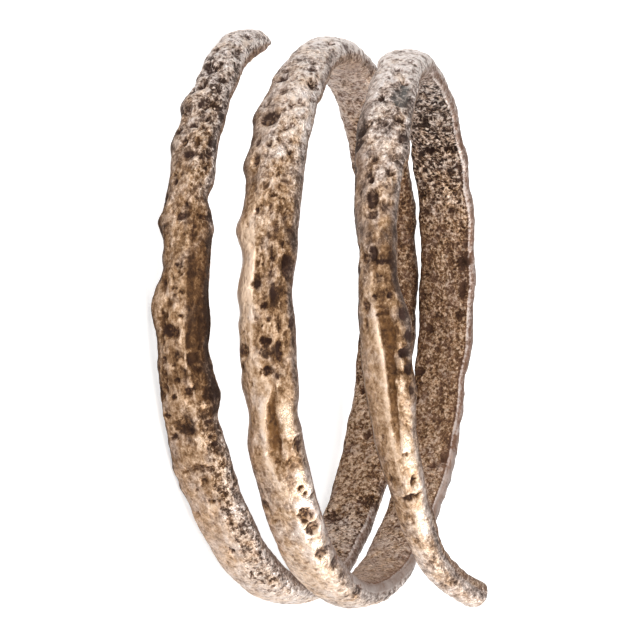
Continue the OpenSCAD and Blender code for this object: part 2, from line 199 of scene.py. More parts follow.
# Cast pits charted one by one: angle, place across the bar, half width, half length along
# the bar, and depth. Those of the inner face, against the finger, have a chart of their own.
OUTER_PITS = (
    (10, 0.3, 0.09, 0.15, 0.7), (14.2, 0.56, 0.11, 0.22, 0.9), (20, 0.02, 0.1, 0.12, 0.5),
    (22.8, 0.37, 0.05, 0.08, 0.6), (23.7, -0.39, 0.1, 0.18, 0.4), (23, 0.75, 0.12, 0.2, 0.5),
    (26.2, 0.28, 0.11, 0.12, 0.8), (25.5, -0.05, 0.05, 0.07, 0.6), (31.2, -0.45, 0.17, 0.24, 1.0),
    (33, -0.08, 0.2, 0.24, 1.0), (30.2, 0.26, 0.1, 0.16, 0.7), (36.2, 0.58, 0.13, 0.14, 0.9),
    (38.9, -0.26, 0.13, 0.17, 1.0), (39.3, 0.65, 0.1, 0.13, 0.6), (37, -0.28, 0.08, 0.07, 0.5),
    (40, -0.62, 0.12, 0.1, 0.5), (42, 0.62, 0.08, 0.14, 0.45), (44.2, 0.2, 0.26, 0.22, 1.0),
    (44.2, 0.72, 0.13, 0.1, 0.8), (45.9, -0.6, 0.15, 0.2, 0.5), (48, 0.42, 0.08, 0.11, 0.9),
    (48.3, -0.6, 0.1, 0.14, 0.45), (50.1, -0.1, 0.18, 0.08, 0.8), (50.5, 0.35, 0.2, 0.07, 0.7),
    (50.6, -0.7, 0.12, 0.09, 0.6), (54.2, -0.33, 0.13, 0.15, 0.6), (53.7, 0.8, 0.06, 0.2, 0.5),
    (54, 0.3, 0.08, 0.12, 0.45), (57, 0.0, 0.24, 0.11, 0.8), (56.7, 0.8, 0.07, 0.15, 0.7),
    (57.5, 0.5, 0.1, 0.08, 0.6), (61, -0.6, 0.08, 0.1, 0.8), (63.1, -0.52, 0.08, 0.1, 0.8),
    (66.6, -0.87, 0.08, 0.2, 0.7), (70.6, 0.0, 0.22, 0.13, 0.6), (70.3, 0.75, 0.2, 0.08, 0.6),
    (74, 0.45, 0.05, 0.35, 0.6), (80.3, -0.12, 0.06, 0.07, 0.8), (80.5, 0.06, 0.05, 0.09, 0.7),
    (81.6, -0.05, 0.08, 0.05, 0.7), (82.3, 0.1, 0.05, 0.08, 0.5), (83.8, -0.64, 0.07, 0.07, 0.8),
    (84.7, -0.12, 0.14, 0.06, 0.6), (85.6, 0.12, 0.06, 0.12, 0.6), (86.3, -0.1, 0.12, 0.05, 0.5),
    (90, -0.45, 0.18, 0.05, 0.6), (90.4, 0.1, 0.12, 0.05, 0.6), (93.2, -0.28, 0.34, 0.21, 0.85),
    (92.5, 0.28, 0.05, 0.2, 0.4), (98.7, 0.5, 0.15, 0.2, 0.9), (101, 0.6, 0.12, 0.13, 0.7),
    (97.5, -0.1, 0.13, 0.06, 0.6), (98.8, -0.65, 0.1, 0.14, 0.6), (99.6, -0.25, 0.09, 0.09, 0.6),
    (102.5, -0.6, 0.06, 0.15, 0.5), (102.6, -0.15, 0.09, 0.1, 0.5),
    (101.5, 0.15, 0.04, 0.14, 0.5), (105.3, 0.18, 0.12, 0.16, 0.9),
    (104.8, 0.42, 0.05, 0.14, 0.7), (106.2, -0.35, 0.12, 0.08, 0.7),
    (104.5, -0.7, 0.08, 0.18, 0.5), (110, -0.75, 0.1, 0.1, 0.8), (113.2, 0.1, 0.1, 0.12, 0.7),
    (114.5, -0.6, 0.12, 0.13, 0.7), (112, 0.78, 0.12, 0.1, 0.7), (115, 0.75, 0.08, 0.1, 0.6),
    (117.5, 0.8, 0.1, 0.3, 0.6), (121.3, 0.05, 0.22, 0.16, 0.6), (121.6, 0.45, 0.12, 0.12, 0.6),
    (122, -0.45, 0.14, 0.12, 0.4), (124.1, 0.13, 0.08, 0.09, 0.6),
    (126.5, -0.26, 0.07, 0.09, 0.8), (129.3, 0.14, 0.14, 0.1, 0.8), (132.3, -0.6, 0.1, 0.1, 0.4),
    (137, 0.8, 0.1, 0.16, 0.6), (142, 0.88, 0.12, 0.14, 0.6), (143.2, 0.03, 0.12, 0.14, 1.0),
    (151, 0.26, 0.05, 0.14, 0.7), (156.2, 0.75, 0.1, 0.18, 0.8), (162, 0.85, 0.08, 0.12, 0.6),
    (368, 0.95, 0.14, 0.3, 0.6), (373.2, 0.54, 0.11, 0.22, 1.0), (376, 0.2, 0.08, 0.12, 0.5),
    (390.6, 0.5, 0.11, 0.16, 1.0), (390.9, -0.44, 0.12, 0.18, 0.6),
    (395.3, 0.78, 0.16, 0.22, 0.9), (394.2, -0.42, 0.2, 0.2, 0.8), (399, -0.15, 0.14, 0.18, 0.5),
    (401.7, 0.53, 0.07, 0.12, 0.8), (403.1, 0.27, 0.08, 0.11, 0.7),
    (400.3, 0.88, 0.08, 0.16, 0.5), (402.5, -0.65, 0.12, 0.12, 0.4),
    (407, -0.37, 0.29, 0.32, 1.0), (408.7, 0.5, 0.08, 0.1, 0.8), (409.9, 0.27, 0.15, 0.07, 0.6),
    (413.4, -0.6, 0.08, 0.15, 0.8), (414.2, -0.17, 0.07, 0.1, 0.7), (417.5, -0.5, 0.12, 0.2, 0.7),
    (415.8, 0.6, 0.08, 0.1, 0.6), (418, 0.35, 0.06, 0.14, 0.5), (422.5, 0.6, 0.18, 0.07, 0.6),
    (425.7, 0.2, 0.07, 0.07, 0.8), (426.2, 0.5, 0.15, 0.04, 0.6), (428.8, -0.34, 0.05, 0.2, 0.9),
    (428, -0.2, 0.1, 0.05, 0.6), (428.7, 0.15, 0.07, 0.25, 0.45), (429.8, 0.64, 0.06, 0.15, 0.6),
    (433.5, 0.4, 0.1, 0.28, 0.45), (432, -0.55, 0.07, 0.07, 0.5), (435.8, -0.44, 0.07, 0.09, 0.7),
    (436, 0.62, 0.06, 0.12, 0.8), (437.8, 0.3, 0.05, 0.35, 0.6), (440.2, 0.86, 0.13, 0.45, 0.8),
    (440, 0.03, 0.04, 0.25, 0.6), (443.8, -0.25, 0.2, 0.09, 0.85), (441.5, 0.35, 0.12, 0.2, 0.45),
    (445.6, 0.5, 0.16, 0.28, 0.6), (448, 0.1, 0.12, 0.13, 0.9), (451.6, -0.1, 0.26, 0.035, 0.85),
    (450.5, 0.25, 0.1, 0.1, 0.6), (451.5, 0.6, 0.05, 0.35, 0.6), (451.8, 0.92, 0.06, 0.24, 0.6),
    (454.7, 0.12, 0.22, 0.09, 1.0), (456.9, -0.75, 0.16, 0.24, 0.9), (457, 0.56, 0.1, 0.45, 0.7),
    (456.5, -0.3, 0.05, 0.14, 0.5), (460.8, 0.12, 0.22, 0.13, 0.85),
    (461.5, 0.48, 0.12, 0.12, 0.6), (460, -0.85, 0.08, 0.16, 0.6), (463.3, -0.5, 0.06, 0.06, 0.5),
    (475.5, 0.2, 0.16, 0.24, 0.5), (476.5, 0.9, 0.07, 0.3, 0.7), (479.7, 0.15, 0.08, 0.14, 0.6),
    (486.3, 0.72, 0.1, 0.13, 0.9), (488, 0.82, 0.08, 0.12, 0.8), (489.5, 0.97, 0.06, 0.08, 0.6),
    (493.2, 0.68, 0.22, 0.32, 0.85), (496.8, 0.72, 0.2, 0.26, 1.0),
    (499.5, 0.58, 0.12, 0.08, 0.6), (486.5, -0.5, 0.12, 0.14, 0.4), (491, -0.78, 0.16, 0.3, 0.5),
    (494.3, -0.5, 0.09, 0.07, 0.5), (504.9, 0.8, 0.18, 0.26, 0.75), (510.5, 0.97, 0.1, 0.3, 0.7),
    (516, 0.97, 0.08, 0.2, 0.5), (526, 0.95, 0.12, 0.3, 0.6), (739.5, 0.58, 0.06, 0.1, 0.6),
    (743, 0.88, 0.1, 0.18, 0.4), (745.3, 0.17, 0.08, 0.16, 0.9), (749.5, 0.0, 0.12, 0.1, 0.4),
    (750.6, 0.56, 0.13, 0.14, 0.95), (758.1, -0.13, 0.1, 0.2, 1.0),
    (756.5, 0.92, 0.07, 0.12, 0.8), (764.9, 0.66, 0.14, 0.1, 0.9), (766.5, 0.15, 0.12, 0.1, 0.6),
    (769.7, 0.85, 0.12, 0.2, 0.7), (775.6, -0.05, 0.1, 0.1, 0.6), (775.5, 0.6, 0.1, 0.14, 0.4),
    (778.9, 0.69, 0.13, 0.15, 0.85), (781, -0.1, 0.08, 0.12, 0.9), (785.2, 0.02, 0.17, 0.27, 1.0),
    (788.9, 0.02, 0.16, 0.13, 0.95), (787.2, 0.56, 0.12, 0.24, 0.4),
    (796.8, 0.02, 0.15, 0.2, 1.0), (798.6, 0.5, 0.2, 0.09, 0.8), (797.5, -0.45, 0.15, 0.18, 0.5),
    (802.7, 0.2, 0.18, 0.05, 0.5), (801.6, 0.38, 0.16, 0.05, 0.45),
    (802.2, -0.02, 0.05, 0.14, 0.4), (802, 0.62, 0.07, 0.18, 0.35),
    (805.6, -0.1, 0.08, 0.07, 0.8), (805.6, 0.65, 0.1, 0.1, 0.8), (807.2, -0.53, 0.14, 0.2, 0.65),
    (809.2, 0.15, 0.2, 0.06, 0.7), (811, -0.6, 0.06, 0.25, 0.5), (809.5, 0.88, 0.14, 0.2, 0.7),
    (814, 0.93, 0.08, 0.22, 0.6), (817, 0.78, 0.15, 0.16, 0.9), (820.5, 0.92, 0.08, 0.16, 0.9),
    (822.8, 0.6, 0.04, 0.22, 0.5), (825, 0.9, 0.06, 0.2, 0.6), (834.3, -0.35, 0.12, 0.12, 0.3),
    (838.1, 0.53, 0.09, 0.06, 0.6), (844.3, 0.66, 0.08, 0.24, 0.9), (848, 0.4, 0.28, 0.11, 0.95),
    (844, -0.5, 0.04, 0.22, 0.5), (843.8, -0.3, 0.1, 0.14, 0.35), (854, 0.15, 0.07, 0.14, 0.4),
    (859.5, 0.1, 0.07, 0.18, 0.35), (875, 0.15, 0.1, 0.1, 0.5), (875, 0.95, 0.18, 0.18, 0.5),
)
INNER_PITS = (
    (203, 0.75, 0.1, 0.08, 0.8), (217.5, -0.38, 0.28, 0.38, 1.0), (223.6, 0.72, 0.3, 0.28, 1.0),
    (219.5, 0.55, 0.1, 0.12, 0.6), (231.5, 0.45, 0.18, 0.16, 0.5), (239.5, -0.6, 0.1, 0.14, 0.6),
    (241.8, -0.1, 0.12, 0.22, 0.7), (253.5, -0.6, 0.11, 0.17, 1.0), (244, -0.4, 0.06, 0.18, 0.5),
    (566, 0.72, 0.1, 0.14, 0.9), (571.2, -0.5, 0.06, 0.07, 0.9), (563, -0.3, 0.08, 0.08, 0.5),
    (594.8, 0.4, 0.15, 0.12, 0.9), (596.5, 0.8, 0.1, 0.12, 0.9), (601.5, 0.92, 0.13, 0.35, 0.9),
    (611, -0.8, 0.1, 0.2, 0.9), (618, -0.75, 0.13, 0.15, 1.0), (620.5, -0.45, 0.07, 0.12, 0.7),
    (627.8, -0.5, 0.14, 0.14, 1.0), (631.5, -0.25, 0.08, 0.12, 0.8), (632, 0.62, 0.12, 0.16, 0.9),
    (635.5, -0.8, 0.1, 0.16, 0.9), (637.5, 0.68, 0.14, 0.25, 0.7), (640.5, -0.7, 0.1, 0.12, 0.8),
    (644.8, 0.7, 0.26, 0.3, 0.95), (648.5, 0.8, 0.16, 0.14, 0.6), (657, 0.35, 0.2, 0.12, 0.7),
    (653.5, 0.6, 0.06, 0.2, 0.6), (656.2, -0.7, 0.12, 0.14, 0.7), (660.8, -0.75, 0.14, 0.2, 0.95),
    (662, 0.75, 0.07, 0.2, 0.6), (666.5, -0.1, 0.12, 0.1, 0.8), (669.5, 0.75, 0.12, 0.16, 0.8),
    (674.8, -0.25, 0.14, 0.16, 0.95), (675, 0.6, 0.24, 0.12, 0.95), (679.5, 0.1, 0.1, 0.12, 0.8),
    (682.5, 0.85, 0.13, 0.22, 0.95), (687, 0.2, 0.14, 0.12, 0.95), (685.5, -0.1, 0.09, 0.12, 0.9),
    (692, -0.05, 0.1, 0.12, 0.8), (694.5, 0.45, 0.1, 0.16, 0.8), (699, 0.1, 0.1, 0.2, 0.8),
    (703.5, 0.15, 0.12, 0.2, 0.9),
)
# Soft hollows of the same kind, which lie dark, and with a depth below 0 the places that
# are worn smooth and carry a painted highlight
OUTER_HOLLOWS = (
    (59, 0.0, 0.1, 0.09, -0.8), (62.3, 0.15, 0.13, 0.16, -0.6), (67.5, 0.1, 0.05, 0.35, 0.5),
    (77.5, -0.5, 0.12, 0.45, 0.35), (88.5, -0.05, 0.2, 0.14, -0.3), (106, 0.92, 0.12, 0.4, 0.7),
    (108, 0.58, 0.05, 0.24, -0.8), (111.9, -0.15, 0.44, 0.34, 0.75),
    (115.6, 0.32, 0.1, 0.28, -1.0), (133.5, 0.4, 0.05, 0.22, -0.7),
    (144.8, 0.12, 0.24, 0.26, 0.3), (148.2, 0.35, 0.08, 0.12, -0.9), (383, 0.3, 0.15, 0.35, -0.4),
    (400, 0.4, 0.15, 0.25, -0.4), (411.5, 0.45, 0.16, 0.16, -0.6), (416, 0.25, 0.18, 0.2, -0.5),
    (421, -0.58, 0.2, 0.55, 0.4), (434.5, 0.85, 0.12, 0.3, 0.5), (446, 0.1, 0.1, 0.14, 0.5),
    (456.9, 0.1, 0.18, 0.28, 0.75), (452, 0.45, 0.04, 0.22, -0.6), (463.2, 0.5, 0.12, 0.08, -0.6),
    (469.4, 0.68, 0.23, 0.48, -1.0), (473, 0.75, 0.18, 0.38, -0.7), (483, 0.8, 0.2, 0.32, -1.0),
    (487, 0.76, 0.24, 0.45, -1.0), (491, 0.68, 0.28, 0.45, -1.0), (497, 0.5, 0.26, 0.5, -1.0),
    (501.7, 0.66, 0.26, 0.3, -1.0), (507.5, 0.62, 0.2, 0.26, -0.9), (512, 0.55, 0.25, 0.45, -0.3),
    (481.5, -0.6, 0.2, 0.4, 0.25), (752.8, 0.66, 0.22, 0.22, 0.7), (757, 0.55, 0.31, 0.6, 0.95),
    (761, 0.1, 0.2, 0.15, -0.4), (767, -0.65, 0.2, 0.35, 0.8), (771, -0.8, 0.15, 0.28, 0.8),
    (772, 0.2, 0.28, 0.35, -0.6), (783, -0.55, 0.14, 0.5, 0.35), (793.5, 0.62, 0.2, 0.3, 0.35),
    (799.5, -0.45, 0.16, 0.3, 0.4), (804, 0.35, 0.1, 0.1, -0.5), (815.6, 0.68, 0.06, 0.16, -0.9),
    (819, 0.72, 0.07, 0.22, -0.9), (823.5, 0.62, 0.07, 0.35, -1.0),
    (829.5, 0.75, 0.12, 0.5, -0.6), (835.5, 0.6, 0.15, 0.35, -0.9),
    (840.5, 0.7, 0.14, 0.35, -0.9), (846, 0.75, 0.1, 0.16, -0.9), (855, 0.58, 0.15, 0.55, -1.0),
    (861, 0.92, 0.12, 0.45, 0.35),
)
INNER_HOLLOWS = (
    (594.5, 0.2, 0.06, 0.15, -1.0), (661, 0.7, 0.05, 0.15, -0.9), (647.5, 0.75, 0.1, 0.1, -0.8),
    (211, 0.2, 0.16, 0.7, -0.6), (218, 0.35, 0.1, 0.3, -0.6), (570, -0.35, 0.14, 0.55, -0.5),
    (652.5, 0.2, 0.3, 0.35, -0.35), (660.5, 0.1, 0.4, 0.3, -0.5), (641, 0.7, 0.16, 1.0, 0.5),
    (599, 0.7, 0.16, 0.8, 0.5),
)

# Finish of the outer face on the low side of its crest and on the high side: angle,
# cast grain, share of hollows, and brown tarnish
LOW_FINISH = (
    (-2, 1.1, 0.2, -0.25), (20, 1.2, 0.2, 0.0), (31, 1.2, 0.2, 0.2),
    (45, 0.9, 0.2, 0.3), (60, 0.4, 0.35, 0.35), (75, 0.3, 0.45, 0.45),
    (88, 0.2, 0.5, 0.25), (100, 0.2, 0.65, 0.35), (110, 0.2, 0.5, 0.25),
    (118, 0.2, 0.4, 0.3), (125, 0.2, 0.25, 0.2), (140, 0.1, 0.12, 0.0),
    (152, 0.3, 0.15, -0.08), (170, 0.4, 0.15, -0.1), (230, 0.5, 0.4, 0.3),
    (320, 0.5, 0.4, 0.3), (360, 0.9, 0.4, -0.55), (388, 0.5, 0.35, 0.24),
    (402, 0.3, 0.3, 0.22), (415, 0.2, 0.25, 0.4), (428, 0.15, 0.3, 0.15),
    (440, 0.1, 0.1, -0.9), (455, 0.1, 0.1, -0.02), (466, 0.1, 0.15, 0.0),
    (475, 0.1, 0.1, 0.0), (485, 0.2, 0.2, 0.18), (494, 0.2, 0.2, 0.15),
    (503, 0.2, 0.1, -0.05), (515, 0.3, 0.1, -0.08), (540, 0.4, 0.2, 0.18),
    (600, 0.5, 0.4, 0.3), (680, 0.5, 0.4, 0.3), (720, 0.8, 0.4, -0.3),
    (745, 0.6, 0.3, -0.08), (760, 0.3, 0.3, 0.45), (790, 0.2, 0.4, 0.38),
    (803, 0.2, 0.4, 0.35), (812, 0.1, 0.15, 0.25), (830, 0.1, 0.1, 0.22),
    (845, 0.2, 0.2, 0.48), (862, 0.4, 0.2, 0.15), (887, 0.4, 0.2, 0.06),
)
HIGH_FINISH = (
    (-2, 1.1, 0.2, -0.25), (20, 1.2, 0.2, 0.0), (31, 1.2, 0.2, 0.2),
    (45, 1.3, 0.2, 0.3), (60, 1.0, 0.5, 0.25), (68, 0.5, 0.5, 0.45),
    (76, 0.3, 0.4, 0.65), (90, 0.3, 0.3, 1.4), (100, 0.4, 0.4, 0.9),
    (108, 0.5, 0.4, 0.75), (116, 0.9, 0.5, 0.38), (125, 1.2, 0.5, 0.35),
    (140, 1.3, 0.4, 0.05), (155, 1.1, 0.4, -0.1), (170, 0.5, 0.2, -0.2),
    (230, 0.5, 0.4, 0.3), (320, 0.5, 0.4, 0.3), (360, 0.9, 0.4, -0.55),
    (385, 0.9, 0.35, 0.1), (402, 1.0, 0.45, -0.42), (415, 0.8, 0.5, 0.08),
    (426, 0.5, 0.5, 0.3), (438, 0.3, 0.6, 0.35), (458, 0.2, 0.6, 0.4),
    (464, 0.2, 0.5, 0.35), (475, 0.2, 0.4, 0.22), (483, 0.2, 0.2, 0.36),
    (491, 0.2, 0.15, -0.05), (503, 0.2, 0.1, -0.08), (515, 0.35, 0.1, -0.08),
    (540, 0.6, 0.2, 0.1), (565, 1.2, 0.5, -0.05), (600, 0.5, 0.4, 0.3),
    (680, 0.5, 0.4, 0.3), (720, 0.8, 0.4, -0.3), (745, 0.9, 0.4, -0.15),
    (765, 0.9, 0.4, 0.32), (778, 0.6, 0.5, 0.18), (788, 0.2, 0.5, 0.35),
    (800, 0.2, 0.5, 0.75), (812, 0.3, 0.6, 0.65), (822, 0.3, 0.5, 0.5),
    (830, 0.2, 0.2, 0.32), (840, 0.2, 0.2, -0.05), (850, 0.2, 0.2, 0.0),
    (862, 0.4, 0.2, 0.15), (887, 0.4, 0.2, 0.05),
)
# Finish of the whole outer face: angle, streaks along the bar, pale grey painted as
# reflected light at the turns, and a worn line on the crest with a painted highlight
WHOLE_FINISH = (
    (-2, 0.0, 0.9, 0.0), (31, 0.0, 0.8, 0.0), (48, 0.1, 0.4, 0.0),
    (60, 0.4, 0.25, 0.0), (75, 0.7, 0.0, 0.2), (105, 0.7, 0.0, 0.2),
    (120, 0.2, 0.1, 0.0), (145, 0.0, 0.4, 0.0), (170, 0.0, 0.6, 0.0),
    (230, 0.2, 0.3, 0.0), (320, 0.2, 0.3, 0.0), (360, 0.0, 1.0, 0.0),
    (390, 0.0, 0.7, 0.0), (412, 0.1, 0.4, 0.0), (425, 0.4, 0.1, 0.2),
    (458, 0.6, 0.0, 0.4), (465, 0.4, 0.0, 1.0), (482, 0.3, 0.1, 0.8),
    (500, 0.1, 0.3, 0.3), (515, 0.0, 0.2, 0.0), (540, 0.0, 0.7, 0.0),
    (600, 0.2, 0.3, 0.0), (680, 0.2, 0.3, 0.0), (720, 0.0, 1.1, 0.0),
    (750, 0.0, 0.9, 0.0), (770, 0.1, 0.6, 0.0), (790, 0.4, 0.3, 0.0),
    (806, 0.5, 0.0, 0.3), (810, 0.4, 0.0, 1.0), (840, 0.2, 0.0, 1.0),
    (850, 0.1, 0.2, 0.5), (862, 0.0, 0.4, 0.0), (887, 0.0, 0.7, 0.0),
)
# Finish of the inner face: angle, open pores, brown tarnish, how smooth the high edge is
# and how pale with painted reflected light, and pale grey painted as reflected light at the turns
GREY_SHEEN = 4
INNER_FINISH = (
    (-2, 0.5, 0.1, 0.0, 0.4), (20, 0.7, 0.4, 0.0, 0.2),
    (190, 0.8, 0.08, 0.6, 0.3), (213, 1.3, -0.2, 0.8, 0.4),
    (226, 1.0, 0.1, 0.3, 0.0), (250, 0.9, 0.1, 0.0, 0.0),
    (290, 0.8, 0.7, 0.0, 0.0), (318, 0.9, 0.02, 0.0, 0.3),
    (338, 0.8, -0.15, 0.0, 0.7), (380, 0.5, 0.2, 0.0, 0.4),
    (545, 0.4, -0.18, 1.3, 0.4), (562, 0.5, -0.22, 1.3, 0.3),
    (572, 1.0, -0.12, 1.3, 0.3), (600, 0.7, 0.28, 1.15, 0.0),
    (630, 0.9, 0.48, 0.85, 0.0), (650, 1.0, 0.45, 0.85, 0.1),
    (668, 1.5, 0.35, 0.8, 0.3), (700, 1.8, 0.4, 0.8, 0.8),
    (715, 1.2, 0.4, 0.6, 0.9), (745, 0.6, 0.4, 0.0, 0.2),
    (860, 0.6, 0.4, 0.0, 0.0), (887, 0.4, 0.0, 0.0, 0.4),
)

# Mesh of the bar: rings along it, points round it, and the outer face's share of them
RING_COUNT = 1680
ROUND_COUNT = 58
OUTER_SHARE = 0.62
# Powers that square up the section's edges, dome its outer face and flatten its inner
EDGE_BOW = 0.75
FACE_BOW = 0.85
INNER_BOW = 0.5
# Points of the grid nearer than this are one point, in millimetres: its seam and its ends
SEAM_GAP = 0.0002
# Heights of the relief, in millimetres
PIT_DEPTH = 0.16
LUMP_HEIGHT = 0.20
BEAD_HEIGHT = 0.03
STREAK_HEIGHT = 0.10
DIMPLE_DEPTH = 0.08
PIT_RIM_HEIGHT = 0.015
WORN_HEIGHT = 0.02
# Powers that round the two falls from the crest, and the mark of a flute, per millimetre
# of its depth
LOW_ROUND = 1.2
HIGH_ROUND = 1.4
FLUTE_SHARE = 7.0
# Middle and half width of the worn line with its painted highlight, from the crest, in
# millimetres
WORN_CREST_HIGHLIGHT = (-0.06, 0.09)
# Share of its depth that a pit loses on the edges' walls, and a dent's depth as a share of
# a pit's
WALL_LOSS = 0.7
DENT_SHARE = 0.5
# Cells that the spots of the cast surface lie in, in millimetres
DIMPLE_CELL = 0.40
POCK_CELL = 0.20
PORE_CELL = 0.15
OPEN_PORE_CELL = 0.28
GLINT_CELL = 0.15
WEB_CELL = 0.21
# How the two ends close: share of the section, and how far it is pushed out
END_STEPS = ((1.0, 0.0), (0.97, 0.04), (0.90, 0.07), (0.75, 0.085), (0.5, 0.09), (0.25, 0.09),
             (0.0, 0.09))


def smooth(rows, angles, column):
    """A table's column at each angle, on a smooth curve through every row."""
    knots = np.array([row[0] for row in rows], float)
    values = np.array([row[column] for row in rows], float)
    before = np.clip(np.searchsorted(knots, angles, "right") - 1, 0, len(rows) - 2)
    lower = np.maximum(np.arange(len(rows)) - 1, 0)
    upper = np.minimum(np.arange(len(rows)) + 1, len(rows) - 1)
    slopes = (values[upper] - values[lower]) / (knots[upper] - knots[lower])
    span = knots[before + 1] - knots[before]
    u = (angles - knots[before]) / span
    leave, arrive = slopes[before] * span, slopes[before + 1] * span
    rise = values[before + 1] - values[before]
    return (values[before] + leave * u + (3 * rise - 2 * leave - arrive) * u ** 2
            + (leave + arrive - 2 * rise) * u ** 3)


def unit(vectors):
    return vectors / np.linalg.norm(vectors, axis=1, keepdims=True)


def middle_line(angles):
    """Points of the bar's middle line, in the coil's frame."""
    radius = MID_RADIUS + smooth(COURSE, angles, SWING)
    turn = np.radians(angles)
    return np.stack([-radius * np.cos(turn), -radius * np.sin(turn),
                     smooth(COURSE, angles, PLACE)], 1)


def half_width(angles, edge):
    """Half width of the bar towards one edge, with that edge's swells."""
    half = BAR_WIDE / 2 * smooth(COURSE, angles, WIDE)
    for angle, side, height, length in SWELLS:
        if side == edge:
            half = half + height * np.exp(-((angles - angle) / length) ** 2)
    slow = 0.025 * np.sin(np.radians(angles * 11 + 60 * edge))
    quick = 0.02 * np.sin(np.radians(angles * 23 + 140 * edge))
    return half + slow + quick


def distance_along(angles):
    """Length of the middle line from its start to each angle, in millimetres."""
    fine = np.linspace(COURSE[0][0], COURSE[-1][0], 4000)
    steps = np.linalg.norm(np.diff(middle_line(fine), axis=0), axis=1)
    return np.interp(angles, fine, np.concatenate([[0], np.cumsum(steps)]))


def flute_rows(angles):
    """Depth and width of the flute at each angle, and the inner face's pale grey at the
    turns, painted as reflected light.
    """
    wide, deep = (np.maximum(smooth(FLUTE_LINE, angles, column), floor)
                  for column, floor in ((FLUTE_WIDE, FLUTE_LEAST), (FLUTE_DEEP, 0.0)))
    return np.stack([deep, wide, smooth(INNER_FINISH, angles, GREY_SHEEN)], 1)


def columns_of(rows, angles):
    return np.stack([smooth(rows, angles, column) for column in (1, 2, 3)], 1)


def point_mesh(name, points, columns):
    """An object that only carries points and their named values into a node tree."""
    mesh = bpy.data.meshes.new(name)
    mesh.from_pydata([tuple(p) for p in points], [], [])
    for column, values in columns.items():
        layer = mesh.attributes.new(column, "FLOAT_VECTOR", "POINT")
        layer.data.foreach_set("vector", np.asarray(values, np.float32).ravel())
    carrier = bpy.data.objects.new(name, mesh)
    bpy.context.scene.collection.objects.link(carrier)
    return carrier


def bar_route():
    """The rings of the bar: where each lies, how it stands and what its finish is."""
    first, last = COURSE[0][0], COURSE[-1][0]
    ends = len(END_STEPS)
    run = np.linspace(first, last, RING_COUNT - 2 * (ends - 1))
    shares = np.array([step[0] for step in END_STEPS])
    pushes = np.array([step[1] for step in END_STEPS])
    angles = np.concatenate([np.full(ends - 1, first), run, np.full(ends - 1, last)])
    share = np.concatenate([shares[:0:-1], np.ones(len(run)), shares[1:]])
    push = np.concatenate([-pushes[:0:-1], np.zeros(len(run)), pushes[1:]])
    along = unit(middle_line(angles + 0.2) - middle_line(angles - 0.2))
    turn = np.radians(angles)
    outward = np.stack([-np.cos(turn), -np.sin(turn), np.zeros(len(angles))], 1)
    upward = unit(np.cross(outward, along))
    outward = np.cross(along, upward)
    middle = middle_line(angles) + along * push[:, None]
    half_thick = BAR_THICK / 2 * smooth(COURSE, angles, THICK)
    columns = {
        "upward": upward,
        "outward": outward,
        "halves": np.stack([half_width(angles, -1), half_width(angles, 1), half_thick], 1),
        "roof": columns_of(CREST_LINE, angles),
        "flute": flute_rows(angles),
        "reach": np.stack([distance_along(angles) + push, share, angles], 1),
        "low_finish": columns_of(LOW_FINISH, angles),
        "high_finish": columns_of(HIGH_FINISH, angles),
        "whole_finish": columns_of(WHOLE_FINISH, angles),
        "inner_finish": columns_of(INNER_FINISH, angles),
    }
    return point_mesh("bar_route", middle, columns)


def bar_section():
    """Outline of the bar's section: place across, rise and how far it faces inward."""
    def outline(turn):
        across = np.sign(np.cos(turn)) * np.abs(np.cos(turn)) ** EDGE_BOW
        lift = np.abs(np.sin(turn))
        rise = np.where(np.sin(turn) > 0, lift ** FACE_BOW, -lift ** INNER_BOW)
        return across, rise

    def spaced(first, last, count):
        turn = np.linspace(first, last, 3000)
        across, rise = outline(turn)
        steps = np.hypot(np.diff(across) * BAR_WIDE, np.diff(rise) * BAR_THICK)
        length = np.concatenate([[0], np.cumsum(steps)])
        return np.interp(np.linspace(0, length[-1], count + 1)[:-1], length, turn)

    outer = round(ROUND_COUNT * OUTER_SHARE)
    turn = np.concatenate([spaced(0, math.pi, outer),
                           spaced(math.pi, 2 * math.pi, ROUND_COUNT - outer)])
    across, rise = outline(turn)
    inner = 1 / (1 + np.exp(12 * rise))
    return point_mesh("bar_section", np.stack([across, rise, inner], 1), {})


# How far apart the charts lie, so that they never mix, and the largest radius on them: a
# smaller pit is raised off its chart, so that the nearest point is the pit whose edge is
# nearest, and no pit cuts into a larger one
CHART_GAP = 50.0
CHART_RADIUS = 0.80


def pit_charts():
    """The charted pits, laid out by distance along the bar and place across it: one chart
    below another, in the order of the face and then of the kind."""
    points, sizes = [], []
    for order, chart in enumerate((OUTER_PITS, INNER_PITS, OUTER_HOLLOWS, INNER_HOLLOWS)):
        angle, across, wide, long, deep = np.array(chart, float).T
        edge = np.where(across < 0, half_width(angle, -1), half_width(angle, 1))
        raised = np.sqrt(CHART_RADIUS ** 2 - wide * long) - CHART_GAP * order
        points.append(np.stack([distance_along(angle), across * edge, raised], 1))
        sizes.append(np.stack([long, wide, deep], 1))
    return point_mesh("pit_charts", np.concatenate(points), {"size": np.concatenate(sizes)})


